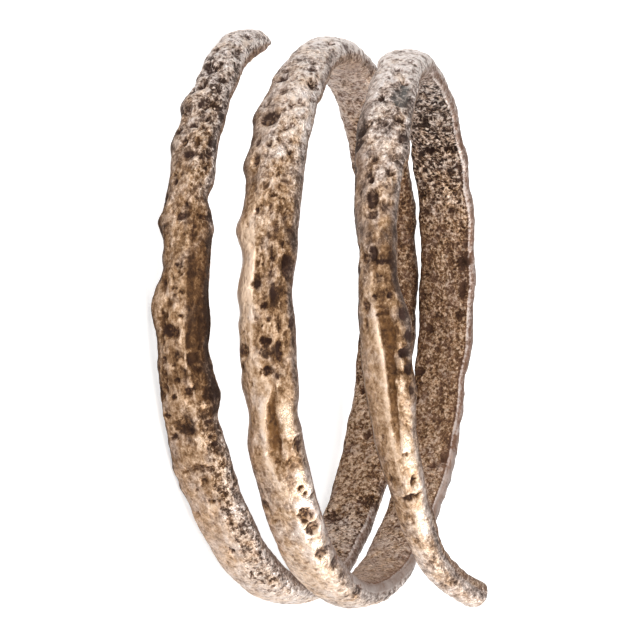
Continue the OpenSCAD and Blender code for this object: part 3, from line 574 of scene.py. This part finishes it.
class Works:
    """A node tree that is being wired up."""

    def __init__(self, tree):
        self.tree = tree

    def node(self, kind, settings=None, *values, out=0, **named):
        """Adds one node: its settings, then its sockets by order or by name."""
        made = self.tree.nodes.new(kind)
        for setting, value in (settings or {}).items():
            setattr(made, setting, value)
        shown = [socket for socket in made.inputs if socket.enabled]
        pairs = list(zip(shown, values))
        by_name = {socket.name.replace(" ", "_"): socket for socket in reversed(shown)}
        pairs += [(by_name[name], value) for name, value in named.items()]
        for socket, value in pairs:
            if isinstance(value, Wire):
                self.tree.links.new(value.socket, socket)
            elif value is not None:
                socket.default_value = value
        outputs = [socket for socket in made.outputs if socket.enabled]
        if isinstance(out, str):
            return Wire(self, next(s for s in outputs if s.name == out))
        return Wire(self, outputs[out])

    def named(self, name):
        return self.node("GeometryNodeInputNamedAttribute", {"data_type": "FLOAT_VECTOR"}, name)

    def join(self, x, y, z):
        return self.node("ShaderNodeCombineXYZ", None, x, y, z)

    def ramp(self, value, low, high, to_low=0.0, to_high=1.0):
        """A value eased from one range to another, and held beyond it."""
        return self.node("ShaderNodeMapRange", {"interpolation_type": "SMOOTHSTEP"},
                         value, low, high, to_low, to_high)

    def blend(self, factor, first, second, kind="FLOAT"):
        return self.node("ShaderNodeMix", {"data_type": kind}, factor, first, second)

    def line(self, value, middle, half):
        """1 on a soft line at one value, and 0 away from it."""
        share = (value - middle) / half
        return (-(share * share)).only("EXPONENT")

    def noise(self, vector, scale, detail=2.0, rough=0.5, out=0):
        return self.node("ShaderNodeTexNoise", {"noise_dimensions": "3D"}, out=out,
                         Vector=vector, Scale=scale, Detail=detail, Roughness=rough)

    def cells(self, vector, scale, out="Distance", feature="F1"):
        return self.node("ShaderNodeTexVoronoi",
                         {"voronoi_dimensions": "3D", "feature": feature}, out=out,
                         Vector=vector, Scale=scale, Randomness=1.0)


class Wire:
    """One socket of a node tree. Sums on wires add the tree's own maths nodes."""

    def __init__(self, works, socket):
        self.works, self.socket = works, socket

    def sum(self, operation, other, swapped=False):
        first, second = (other, self) if swapped else (self, other)
        wires = [w for w in (first, second) if isinstance(w, Wire)]
        vector = any(w.socket.type in ("VECTOR", "RGBA") for w in wires)
        if vector and operation == "MULTIPLY" and not all(
                isinstance(w, tuple) or (isinstance(w, Wire) and w.socket.type == "VECTOR")
                for w in (first, second)):
            size = second if first is self and not swapped else first
            return self.works.node("ShaderNodeVectorMath", {"operation": "SCALE"},
                                   Vector=self, Scale=size)
        kind = "ShaderNodeVectorMath" if vector else "ShaderNodeMath"
        return self.works.node(kind, {"operation": operation}, first, second)

    def __add__(self, other):
        return self.sum("ADD", other)

    def __radd__(self, other):
        return self.sum("ADD", other, True)

    def __sub__(self, other):
        return self.sum("SUBTRACT", other)

    def __rsub__(self, other):
        return self.sum("SUBTRACT", other, True)

    def __mul__(self, other):
        return self.sum("MULTIPLY", other)

    def __rmul__(self, other):
        return self.sum("MULTIPLY", other, True)

    def __truediv__(self, other):
        return self.sum("DIVIDE", other)

    def __pow__(self, other):
        return self.sum("POWER", other)

    def __gt__(self, other):
        return self.sum("GREATER_THAN", other)

    def __neg__(self):
        return self * -1.0

    def most(self, other):
        return self.sum("MAXIMUM", other)

    def least(self, other):
        return self.sum("MINIMUM", other)

    def only(self, operation):
        """A sum on this wire alone, such as FLOOR or EXPONENT."""
        return self.works.node("ShaderNodeMath", {"operation": operation}, self)

    def part(self, axis):
        return self.works.node("ShaderNodeSeparateXYZ", None, self, out="XYZ".index(axis))

    def length(self):
        return self.works.node("ShaderNodeVectorMath", {"operation": "LENGTH"}, self,
                               out="Value")


def cell_field(works, bar, cell, stretch, share, seed, ragged):
    """Ragged cells over the bar: distance from a cell's middle, distance from its edge,
    and 1 in those cells that are picked, by their share. Sizes are in cell widths."""
    place = (bar * (1 / stretch, 1.0, 1.0) + (seed * 7.3, seed * 3.1, seed * 5.7)) * (1 / cell)
    place = place + (works.noise(place, 1.3, 3.0, out="Color") - (0.5,) * 3) * ragged
    chance = works.cells(place, 1.0, "Color").part("X")
    level = 1.0 - share
    return (works.cells(place, 1.0), works.cells(place, 1.0, feature="DISTANCE_TO_EDGE"),
            works.ramp(chance, level - 0.05, level + 0.2))


def dimples(works, bar, share, webbed):
    """The larger hollows, which both the mesh and the finish follow: round and apart, or
    long and crowded with thin raised webs between them."""
    middle, edge, picked = cell_field(works, bar, DIMPLE_CELL, stretch=1.5, share=share,
                                      seed=2.0, ragged=1.1)
    return works.blend(webbed, works.ramp(middle, 0.52, 0.12),
                       works.ramp(edge, 0.04, 0.26)) * picked


def specks(works, bar, cell, share, seed, ragged=0.8):
    """Small round spots, one at most in each cell."""
    middle, _, picked = cell_field(works, bar, cell, 1.1, share, seed, ragged)
    return works.ramp(middle, 0.50, 0.15) * picked


def bar_tree():
    """Winds the section along the route and casts the surface's relief into it."""
    tree = bpy.data.node_groups.new("wind_bar", "GeometryNodeTree")
    face = tree.interface
    face.new_socket("Route", in_out="INPUT", socket_type="NodeSocketGeometry")
    face.new_socket("Section", in_out="INPUT", socket_type="NodeSocketObject")
    face.new_socket("Pit chart", in_out="INPUT", socket_type="NodeSocketObject")
    for name, default in (("Pit depth", PIT_DEPTH), ("Lump height", LUMP_HEIGHT),
                          ("Bead height", BEAD_HEIGHT), ("Streak height", STREAK_HEIGHT),
                          ("Dimple depth", DIMPLE_DEPTH)):
        made = face.new_socket(name, in_out="INPUT", socket_type="NodeSocketFloat")
        made.default_value = default
    face.new_socket("Finish", in_out="INPUT", socket_type="NodeSocketMaterial")
    face.new_socket("Bar", in_out="OUTPUT", socket_type="NodeSocketGeometry")
    works = Works(tree)
    inputs = tree.nodes.new("NodeGroupInput")

    def given(name):
        return Wire(works, inputs.outputs[name])

    route = given("Route")
    section = works.node("GeometryNodeObjectInfo", None, given("Section"), out="Geometry")
    chart = works.node("GeometryNodeObjectInfo", None, given("Pit chart"), out="Geometry")
    rings = works.node("GeometryNodeAttributeDomainSize", None, route, out="Point Count")
    rounds = works.node("GeometryNodeAttributeDomainSize", None, section, out="Point Count")
    grid = works.node("GeometryNodeMeshGrid", None, 1.0, 1.0, rings, rounds + 1.0, out="Mesh")

    # Each point of the grid has a ring along the route and a side of the section
    index = works.node("GeometryNodeInputIndex")
    ring = ((index + 0.5) / (rounds + 1.0)).only("FLOOR")
    side = index - ring * (rounds + 1.0)
    side = side - rounds * (side > (rounds - 0.5))

    def taken(source, value, place):
        return works.node("GeometryNodeSampleIndex", {"data_type": "FLOAT_VECTOR"},
                          source, value, place)

    def at_ring(name):
        return taken(route, works.named(name), ring + 0.25)

    spot = works.node("GeometryNodeInputPosition")
    middle = taken(route, spot, ring + 0.25)
    outline = taken(section, spot, side + 0.25)
    across, lift, inner = (outline.part(axis) for axis in "XYZ")
    halves, roof, flute, reach = (at_ring(n) for n in ("halves", "roof", "flute", "reach"))
    high_half = across > 0.0
    half = works.blend(high_half, halves.part("X"), halves.part("Y"))

    # The section at this ring: the falls from the crest, and the flute above it
    crest = roof.part("X")
    low_run = (crest - across).most(0.0) / (crest + 1.0)
    high_run = (across - crest).most(0.0) / (1.0 - crest)
    fall = roof.part("Y") * low_run ** LOW_ROUND + roof.part("Z") * high_run ** HIGH_ROUND
    beyond = (across - crest) * half
    into = beyond / flute.part("Y")
    groove = works.ramp(into, -0.1, 0.3) * works.ramp(into, 1.25, 0.75)
    fall = fall + flute.part("X") * groove
    outer_face = works.ramp(lift, -0.2, 0.3)
    share = reach.part("Y")
    aside = across * half * share
    rise = (lift * halves.part("Z") - fall * outer_face) * share
    place = middle + at_ring("upward") * aside + at_ring("outward") * rise
    bar = works.join(reach.part("X"), aside, rise)

    # The finish at this point, of the low side, the high side or the inner face
    high_side = works.ramp(across, crest - 0.04, crest + 0.10)
    deepening = works.join(1.0, 1.0, 0.82 + high_run * 0.5)
    low, high, whole, inside = (
        at_ring(name + "_finish") for name in ("low", "high", "whole", "inner"))
    lip = works.ramp(across, 0.82, 0.88) * inside.part("Z")
    bare = 1.0 - lip
    within = works.join(inside.part("X") * bare, 0.3 * bare, inside.part("Y") * bare)
    finish = works.blend(inner, works.blend(high_side, low, high * deepening, "VECTOR"), within,
                         "VECTOR")
    # The worn line on the crest, bright also as a painted highlight
    worn_crest_highlight = works.line(beyond, *WORN_CREST_HIGHLIGHT) * whole.part("Z")
    # Pale grey at the turns, and on the inner face that of its lip, is painted reflected light
    wear_and_sheen = works.join(whole.part("X"), whole.part("Y"), worn_crest_highlight) * (1.0 - inner)
    wear_and_sheen = wear_and_sheen + works.join(0.0, (lip * 0.7 + flute.part("Z")) * inner, 0.0)
    flute_mark = groove * flute.part("X") * FLUTE_SHARE * (1.0 - inner)
    face_place = works.join(inner, flute_mark, 0.0)

    def kept(geometry, name, value):
        return works.node("GeometryNodeStoreNamedAttribute", {"data_type": "FLOAT_VECTOR"},
                          geometry, None, name, value)

    shape = kept(kept(grid, "bar", bar), "finish", finish)
    shape = kept(kept(shape, "wear_and_sheen", wear_and_sheen), "face", face_place)
    shape = kept(shape, "edge", works.join(across, lift, inside.part("Z")))
    shape = works.node("GeometryNodeSetPosition", None, shape, None, place)
    # The grid is wound with its faces to the inside, so they are turned round before the
    # relief is cast along their normals
    shape = works.node("GeometryNodeFlipFaces", None, shape)
    shape = works.node("GeometryNodeMergeByDistance", None, shape, Distance=SEAM_GAP)

    bar, finish, wear_and_sheen, face_place, edge = (
        works.named(name) for name in ("bar", "finish", "wear_and_sheen", "face", "edge"))
    grain, hollow, brown = (finish.part(axis) for axis in "XYZ")
    streak, inner = wear_and_sheen.part("X"), face_place.part("X")

    # Charted pits and hollows: the one whose edge is nearest on the chart of the same face
    inside_out = (inner > 0.5) * -CHART_GAP

    def charted(order, shake):
        swayed = bar + (works.noise(bar, 6.0, 2.0, out="Color") - (0.5,) * 3) * shake
        sought = works.join(swayed.part("X"), swayed.part("Y"),
                            inside_out - CHART_GAP * order)
        nearest = works.node("GeometryNodeSampleNearest", None, chart, sought)
        size = taken(chart, works.named("size"), nearest)
        apart = sought - taken(chart, spot, nearest)
        apart = works.join(apart.part("X"), apart.part("Y"), 0.0)
        share = works.node("ShaderNodeVectorMath", {"operation": "DIVIDE"}, apart,
                           works.join(size.part("X"), size.part("Y"), 1.0))
        lit_side = ((share.part("X") + share.part("Y")) * 0.7).most(-1.0).least(1.0)
        ragged = 1.0 + (works.noise(bar, 4.5, 3.0, 0.6) - 0.5) * 1.3
        return share.length() * ragged, size.part("Z"), lit_side

    gap, deep, lit_side = charted(0, 0.16)
    pit = works.ramp(gap, 1.45, 0.6) * deep
    rim = works.ramp(gap, 1.8, 1.3) * works.ramp(gap, 1.0, 1.3) * deep
    # Painted shade: each pit's tarnish is painted darker on one side, and its rim gets a painted
    # highlight on the other
    pit_tarnish_and_shade, pit_rim_highlight = pit * (1.0 - lit_side * 0.35), rim * (0.6 + lit_side * 0.7)
    gap, deep, _ = charted(2, 0.28)
    hollow_place = works.ramp(gap, 1.35, 0.5) * deep

    # Lumps, beads, streaks and dimples
    lumps = works.noise(bar, 0.9, 2.0) + works.noise(bar, 2.4, 2.0) - 1.0
    lumps = lumps * (0.35 + hollow * 0.9)
    beads = works.ramp(works.cells(bar, 4.6, feature="SMOOTH_F1"), 0.75, 0.15)
    streaks = works.noise(bar * (0.45, 3.4, 3.4), 1.3, 3.0) - 0.5
    dimple = dimples(works, bar, hollow, streak)
    wall = works.ramp(edge.part("X").only("ABSOLUTE"), 0.75, 0.95)
    calm = (1.0 - wall * 0.6) * (1.0 - inner * 0.5)
    # Patches worn smooth, which the finish paints with a highlight
    worn_highlight = (-hollow_place).most(0.0)
    dent = hollow_place.most(0.0)
    height = (lumps * given("Lump height") * (0.7 + grain * 0.3)
              + beads * given("Bead height") * grain * calm
              + streaks * given("Streak height") * streak
              + rim * PIT_RIM_HEIGHT + worn_highlight * WORN_HEIGHT
              - (pit + dent * DENT_SHARE) * given("Pit depth") * (1.0 - wall * WALL_LOSS)
              - dimple * given("Dimple depth") * calm * (1.0 - worn_highlight))
    normal = works.node("GeometryNodeInputNormal")
    # Stored for the finish: the pits' tarnish with its painted shade, their rims' painted
    # highlight, and the charted hollows
    shape = kept(shape, "cast", works.join(pit_tarnish_and_shade, pit_rim_highlight, hollow_place))
    shape = works.node("GeometryNodeSetPosition", None, shape, None, None, normal * height)
    shape = works.node("GeometryNodeSetShadeSmooth", None, shape)
    shape = works.node("GeometryNodeRealizeInstances", None, shape)
    shape = works.node("GeometryNodeSetMaterial", None, shape, None, given("Finish"))
    output = tree.nodes.new("NodeGroupOutput")
    tree.links.new(shape.socket, output.inputs["Bar"])
    return tree


def paint(red, green, blue):
    """A tone given from 0 to 255, as the light that it stands for."""
    return tuple((tone / 255) ** 2.2 for tone in (red, green, blue)) + (1.0,)


# Tones of the worn metal from its darkest hollows to its brightest ridges: those of the
# golden middle, and those of the pale, greyer metal, which at the turns and on the walls is
# painted reflected light
GOLD_TONES = ((0.0, paint(48, 30, 20)), (0.25, paint(104, 75, 51)), (0.5, paint(152, 120, 90)),
              (0.75, paint(203, 170, 140)), (1.0, paint(240, 210, 182)))
PALE_TONES = ((0.0, paint(55, 42, 36)), (0.25, paint(113, 98, 89)), (0.5, paint(170, 152, 142)),
              (0.75, paint(212, 195, 185)), (1.0, paint(250, 238, 231)))
# The grey of the broad hollow at the top of the last turn, and the red brown of the smooth
# strip along the inner face
PATCH_TONE = paint(116, 118, 115)
STRIP_TONE = paint(140, 102, 80)
# The red brown in the pits, and the golden brown that lies in the flutes
PIT_TONE = paint(84, 62, 56)
FLUTE_TONE = paint(126, 88, 52)
# The level of plain metal on the tones' scale, and the level below which they fade
# towards black
PLAIN_LEVEL = 0.78
DARK_FADE = 0.18

# Noise of the cast surface: stretch along the bar, spots to the millimetre, detail and
# roughness
CAST_NOISE = {
    "sand": ((1.0, 1.0, 1.0), 12.0, 3.0, 0.65),
    "grit": ((0.8, 1.0, 1.0), 6.0, 2.0, 0.6),
    "coarse": ((0.8, 1.0, 1.0), 3.0, 2.0, 0.6),
    "cloud": ((0.7, 1.0, 1.0), 1.5, 3.0, 0.55),
    "strand": ((0.5, 2.6, 2.6), 1.6, 3.0, 0.55),
    "hue": ((0.7, 1.0, 1.0), 2.0, 3.0, 0.6),
    "flick": ((1.0, 1.0, 1.0), 8.0, 2.0, 0.6),
    "flake": ((0.8, 1.0, 1.0), 4.5, 3.0, 0.7),
    "mottle": ((0.75, 1.0, 1.0), 2.4, 4.0, 0.62),
}
# The rim of the inner face: places across the bar of its painted highlight line and of the
# line of painted shade below it, their half width, and where its side, painted in shade, starts
# and is whole
RIM_HIGHLIGHT, RIM_SHADE, RIM_HALF = 0.885, 0.82, 0.035
SHADED_RIM_SIDE = (0.91, 0.96)


def tones(works, level, stops):
    ramp = works.node("ShaderNodeValToRGB", None, level)
    elements = ramp.socket.node.color_ramp.elements
    for position, _ in stops[1:-1]:
        elements.new(position)
    for element, (position, colour) in zip(elements, stops):
        element.position, element.color = position, colour
    return ramp


def cast_bronze():
    """Pitted cast bronze: dark tarnish in the hollows, worn bright on what stands out, with
    painted shade, painted highlights and painted glints.
    """
    material = bpy.data.materials.new("cast_bronze")
    material.use_nodes = True
    works = Works(material.node_tree)
    works.tree.nodes.clear()

    def stored(name):
        return works.node("ShaderNodeAttribute", {"attribute_name": name}, out="Vector")

    bar, finish, wear_and_sheen, cast, face, edge = (
        stored(name) for name in ("bar", "finish", "wear_and_sheen", "cast", "face", "edge"))
    grain, hollow, brown = (finish.part(axis) for axis in "XYZ")
    streak, pale_sheen, worn_crest_highlight = (wear_and_sheen.part(axis) for axis in "XYZ")
    # The pits' tarnish with its painted shade on one side, and the painted highlight on their rims
    pit, rim, hollow_place = (cast.part(axis) for axis in "XYZ")
    worn_highlight, dent = (-hollow_place).most(0.0), hollow_place.most(0.0)
    inner, groove = face.part("X"), face.part("Y")
    across, lift = edge.part("X"), edge.part("Y")
    low_wall, high_wall = works.ramp(across, -0.8, -0.97), works.ramp(across, 0.8, 0.97)
    rim_share = works.ramp(lift, 0.0, -0.2) * edge.part("Z")
    # Painted highlight along the inner face's rim, and painted shade below it and on its side
    rim_highlight = works.line(across, RIM_HIGHLIGHT, RIM_HALF) * rim_share
    rim_shade = works.line(across, RIM_SHADE, RIM_HALF) * rim_share
    shaded_rim_side = works.ramp(across, *SHADED_RIM_SIDE) * rim_share
    foot = works.ramp(edge.part("Z"), 1.0, 1.25)
    strip = works.ramp(across, 0.55, 0.65) * inner * edge.part("Z") * (1.0 - grain).most(0.0)
    outer = 1.0 - inner * 0.6

    def noise(name):
        stretch, *values = CAST_NOISE[name]
        return works.noise(bar * stretch, *values)

    sand, grit, coarse, cloud, strand, hue = (
        noise(name) - 0.5 for name in ("sand", "grit", "coarse", "cloud", "strand", "hue"))
    flick, flake = (works.ramp(noise(name), 0.40, 0.60) - 0.5 for name in ("flick", "flake"))
    mottle = works.ramp(noise("mottle"), 0.50, 0.66)
    dimple = dimples(works, bar, hollow, streak)
    pock = specks(works, bar, POCK_CELL, share=0.3 + grain * 0.25, seed=4.0)
    open_grain = works.ramp(grain, 0.9, 1.7)
    close_pore = specks(works, bar, PORE_CELL, share=0.6, seed=6.0)
    open_pore = specks(works, bar, OPEN_PORE_CELL, share=0.8, seed=8.0, ragged=1.6)
    pore = close_pore * inner * grain + open_pore * inner * open_grain
    # Painted glints, on small raised bumps
    glint = specks(works, bar, GLINT_CELL, share=0.4, seed=9.0) * grain
    _, seam, chosen = cell_field(works, bar, WEB_CELL, stretch=1.25, share=0.5, seed=11.0,
                                 ragged=1.5)
    web = works.ramp(seam, 0.10, 0.02)

    bare = 1.0 - worn_highlight * 0.65
    pit_dark = works.ramp(pit + coarse * 0.4 + grit * 0.8, 0.08, 0.85)
    dent_dark = works.ramp(dent + coarse * 0.5 + grit * 0.4, 0.05, 0.8)
    # Painted highlight on the worn patches
    shine = worn_highlight * (1.0 - pit_dark)
    grainy = 0.35 + grain * 0.7
    # The weights from here on are steps on the tones' scale, from 0 for the darkest to 1 for
    # the brightest, and were set against the photograph. First the light and dark of
    # the cast grain
    cast_grain = (
        (coarse * outer * (1.2 + grain * 0.3) * grainy + grit * grainy * (1.0 - inner * 0.4)
         + cloud * 0.4 * outer) * bare
        + flake * (0.11 + grain * 0.14) * bare * (1.0 - inner * 0.6)
        + (web * (0.05 + grain * 0.30) - chosen * (0.04 + grain * 0.18)) * bare
        + sand * (0.5 + grain * 0.3 + inner * 1.2)
        + flick * (0.06 + grain * 0.17 + inner * 0.20)
        + strand * streak)
    # Dark that lies in hollows, pores and pits, with the pits' painted shade on one side
    sunk_dark = (
        mottle * (0.08 + hollow * 0.35) * outer * bare + dimple * (0.28 + brown * 0.2) * bare
        + pock * (0.16 + grain * 0.2) * outer * bare + pore * (0.56 + open_grain * 0.4)
        + pit_dark * (0.64 - flick * 0.5) + dent_dark * (0.44 - flick * 0.3))
    # Brown tarnish, and the shaded flutes, walls and rims
    shade = (
        brown * 0.50 + groove * (0.28 - strand * 0.8) + inner * 0.05 + strip * 0.1
        + low_wall * brown.most(0.0) * 0.8
        + high_wall * 0.18 * (1.0 - edge.part("Z") * inner) + rim_shade * 0.45
        + shaded_rim_side * (0.22 - foot * 0.8 - strand - coarse * 1.2 - grit))
    # Metal worn bright, with painted highlights and glints
    bright = (
        worn_crest_highlight * 0.28 + rim * 0.18 + shine * 0.45 + glint * (0.44 + open_grain * 1.1)
        + rim_highlight * (0.65 + strand * 2.2 + flick * 0.3))
    level = PLAIN_LEVEL + cast_grain + bright - sunk_dark - shade
    # The darkest tones keep their grain, because they fade towards black and never reach it
    fade = grain * (1.0 - inner) * (1.0 - pale_sheen).most(0.0) * 0.14 + DARK_FADE
    faded = (level / fade - 1.0).only("EXPONENT") * fade
    level = works.blend(level > fade, faded, level).least(1.0)
    # Paleness: the random hue, and painted reflected light on the turns, the walls and the inner
    # face's rim
    paleness = (pale_sheen + hue * 2.2 + high_wall * 0.6 * (1.0 - inner) + low_wall * 0.3 * (1.0 - brown)
                + rim_highlight + shaded_rim_side - groove * 0.4).most(0.0).least(1.0)
    colour = works.blend(paleness, tones(works, level, GOLD_TONES),
                         tones(works, level, PALE_TONES), "RGBA")
    patch = (dent_dark * works.ramp(across, -0.1, 0.3) * pale_sheen.most(0.0).least(1.0)
             * (0.45 + coarse * 1.6))
    colour = works.blend(patch, colour, PATCH_TONE, "RGBA")
    colour = works.blend(pit_dark * (0.25 + hue * 1.5), colour, PIT_TONE, "RGBA")
    red = strip * 0.35 + inner * (1.0 - open_grain) * (0.22 + hue)
    colour = works.blend(red, colour, STRIP_TONE, "RGBA")
    colour = works.blend(groove * (0.45 + grit + coarse * 1.5), colour, FLUTE_TONE, "RGBA")
    rough = 0.58 - level * 0.26 - shine * 0.12
    metallic = works.ramp(level, 0.1, 0.5, 0.35, 1.0)

    # Heights of the finest relief, in millimetres
    fine = (grit * (0.02 + grain * 0.08) + sand * (0.02 + grain * 0.025)
            + coarse * (0.02 + grain * 0.04) * outer
            + strand * 0.02 * streak - pock * (0.015 + grain * 0.025) - pore * 0.03
            + glint * 0.045 + web * 0.02 * grain - chosen * 0.02 * grain)
    bump = works.node("ShaderNodeBump", None, Strength=1.0, Distance=MM, Height=fine)
    shader = works.node("ShaderNodeBsdfPrincipled", None, Base_Color=colour, Roughness=rough,
                        Metallic=metallic, Normal=bump, Specular_IOR_Level=0.2)
    output = works.tree.nodes.new("ShaderNodeOutputMaterial")
    works.tree.links.new(shader.socket, output.inputs["Surface"])
    return material


def lean_matrix():
    """Turn that leans the coil onto its three low places."""
    way = Matrix.Rotation(math.radians(REST_WAY), 4, "Z")
    lean = Matrix.Rotation(math.radians(REST_LEAN), 4, "Y")
    return way @ lean @ way.inverted()


def coil_band():
    """The whole ring, wound by the node tree and set down on the floor."""
    route, section, chart = bar_route(), bar_section(), pit_charts()
    tree = bar_tree()
    wound = route.modifiers.new("wind", "NODES")
    wound.node_group = tree
    values = {"Section": section, "Pit chart": chart, "Finish": cast_bronze()}
    for item in tree.interface.items_tree:
        if item.item_type == "SOCKET" and item.in_out == "INPUT" and item.name in values:
            wound[item.identifier] = values[item.name]
    bpy.context.view_layer.update()
    seen = route.evaluated_get(bpy.context.evaluated_depsgraph_get())
    mesh = bpy.data.meshes.new_from_object(seen)
    mesh.name = "cast_coil"
    route.modifiers.remove(wound)
    for carrier in (route, section, chart):
        bpy.data.objects.remove(carrier)
    mesh.transform(Matrix.Scale(MM, 4) @ lean_matrix())
    points = np.zeros(len(mesh.vertices) * 3, np.float32)
    mesh.vertices.foreach_get("co", points)
    points = points.reshape(-1, 3)
    lowest, highest = points.min(0), points.max(0)
    foot = Vector(((lowest[0] + highest[0]) / 2, (lowest[1] + highest[1]) / 2, lowest[2]))
    mesh.transform(Matrix.Translation(-foot))
    piece = bpy.data.objects.new("cast_coil", mesh)
    bpy.context.scene.collection.objects.link(piece)
    return piece, foot


# The view of the photograph, as angles and sizes in the coil's own frame
VIEW_RISE = 15.5
VIEW_ROLL = 1.25
VIEW_DISTANCE = 220.0
PICTURE_WIDE = 640
MM_PER_PIXEL = 0.034
AIM_RIGHT, AIM_UP = -0.51, -0.07
SENSOR_WIDE = 36.0
CLIP_NEAR, CLIP_FAR = 0.005, 20


def picture_axes():
    """Right, up and towards the camera, as the picture sees them, in the coil's frame."""
    rise, roll = math.radians(VIEW_RISE), math.radians(VIEW_ROLL)
    right = Vector((0, math.sin(rise), math.cos(rise)))
    up = Vector((-1, 0, 0))
    near = Vector((0, -math.cos(rise), math.sin(rise)))
    aim = right * AIM_RIGHT + up * AIM_UP
    turned_right = right * math.cos(roll) + up * math.sin(roll)
    turned_up = up * math.cos(roll) - right * math.sin(roll)
    return turned_right, turned_up, near, aim


def photo_camera(foot):
    right, up, near, aim = picture_axes()
    lean = lean_matrix().to_3x3()
    axes = Matrix([lean @ right, lean @ up, lean @ near]).transposed()
    place = lean @ (aim + near * VIEW_DISTANCE) * MM - foot
    data = bpy.data.cameras.new("photo_camera")
    data.sensor_width = SENSOR_WIDE
    data.lens = SENSOR_WIDE * VIEW_DISTANCE / (PICTURE_WIDE * MM_PER_PIXEL)
    data.clip_start, data.clip_end = CLIP_NEAR, CLIP_FAR
    camera = bpy.data.objects.new("photo_camera", data)
    camera.matrix_world = Matrix.Translation(place) @ axes.to_4x4()
    bpy.context.scene.collection.objects.link(camera)
    bpy.context.scene.camera = camera


# Floor and room: half width of the floor in metres, its extra light and that of the room
FLOOR_HALF = 6.0
FLOOR_LIFT = 0.5
ROOM_GLOW = 0.6
# Lights: name, way to the light as right, up and near in the picture, distance and width
# in metres, brightness and tint. They face the middle of the ring, at this height.
RING_MIDDLE = 0.004
LIGHTS = (
    ("top_box", (0.0, 1.0, 0.25), 0.6, 0.6, 2.0, (0.95, 0.97, 1.0)),
    ("bottom_box", (0.6, -1.0, 0.1), 0.6, 0.6, 2.6, (1.0, 0.98, 0.95)),
    ("right_box", (1.0, 0.1, 0.1), 0.6, 0.5, 0.7, (0.95, 0.97, 1.0)),
    ("front_box", (0.1, 0.1, 1.0), 0.9, 0.9, 1.6, (1.0, 1.0, 1.0)),
)


def softbox(name, way, distance, wide, glow, tint):
    """A square area light that faces the ring from one way."""
    right, up, near, _ = picture_axes()
    lean = lean_matrix().to_3x3()
    towards = (lean @ (right * way[0] + up * way[1] + near * way[2])).normalized()
    data = bpy.data.lights.new(name, "AREA")
    data.shape = "RECTANGLE"
    data.size, data.size_y = wide, wide
    data.energy = math.pi * wide * wide * glow
    data.color = tint
    light = bpy.data.objects.new(name, data)
    light.rotation_euler = towards.to_track_quat("Z", "Y").to_euler()
    light.location = towards * distance + Vector((0, 0, RING_MIDDLE))
    bpy.context.scene.collection.objects.link(light)


def plain_floor():
    """A pale floor. The camera sees it brighter than the metal does, so that the ring
    stands on white and still has dark to reflect."""
    mesh = bpy.data.meshes.new("floor")
    corners = ((-1, -1), (1, -1), (1, 1), (-1, 1))
    mesh.from_pydata([(x * FLOOR_HALF, y * FLOOR_HALF, 0) for x, y in corners], [],
                     [(0, 1, 2, 3)])
    floor = bpy.data.objects.new("floor", mesh)
    bpy.context.scene.collection.objects.link(floor)
    material = bpy.data.materials.new("pale_floor")
    material.use_nodes = True
    works = Works(material.node_tree)
    works.tree.nodes.clear()
    seen = works.node("ShaderNodeLightPath", None, out="Is Camera Ray")
    shade = works.blend(seen, (0.85, 0.85, 0.85, 1), (0.9, 0.9, 0.9, 1), "RGBA")
    matte = works.node("ShaderNodeBsdfDiffuse", None, shade)
    lift = works.node("ShaderNodeEmission", None, (1, 1, 1, 1), seen * FLOOR_LIFT)
    surface = works.node("ShaderNodeAddShader", None, matte, lift)
    output = works.tree.nodes.new("ShaderNodeOutputMaterial")
    works.tree.links.new(surface.socket, output.inputs["Surface"])
    mesh.materials.append(material)


def studio():
    """Plain pale floor and a soft room, brightest at both turns of the ring."""
    plain_floor()
    world = bpy.data.worlds.new("room")
    world.use_nodes = True
    works = Works(world.node_tree)
    works.tree.nodes.clear()
    seen = works.node("ShaderNodeLightPath", None, out="Is Camera Ray")
    glow = works.blend(seen, ROOM_GLOW, 1.0)
    background = works.node("ShaderNodeBackground", None, (1, 1, 1, 1), glow)
    output = works.tree.nodes.new("ShaderNodeOutputWorld")
    works.tree.links.new(background.socket, output.inputs["Surface"])
    bpy.context.scene.world = world
    for values in LIGHTS:
        softbox(*values)
    bpy.context.scene.view_settings.view_transform = "Standard"


ring, foot = coil_band()
photo_camera(foot)
studio()
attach(ring, "root")
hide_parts("coil_band")
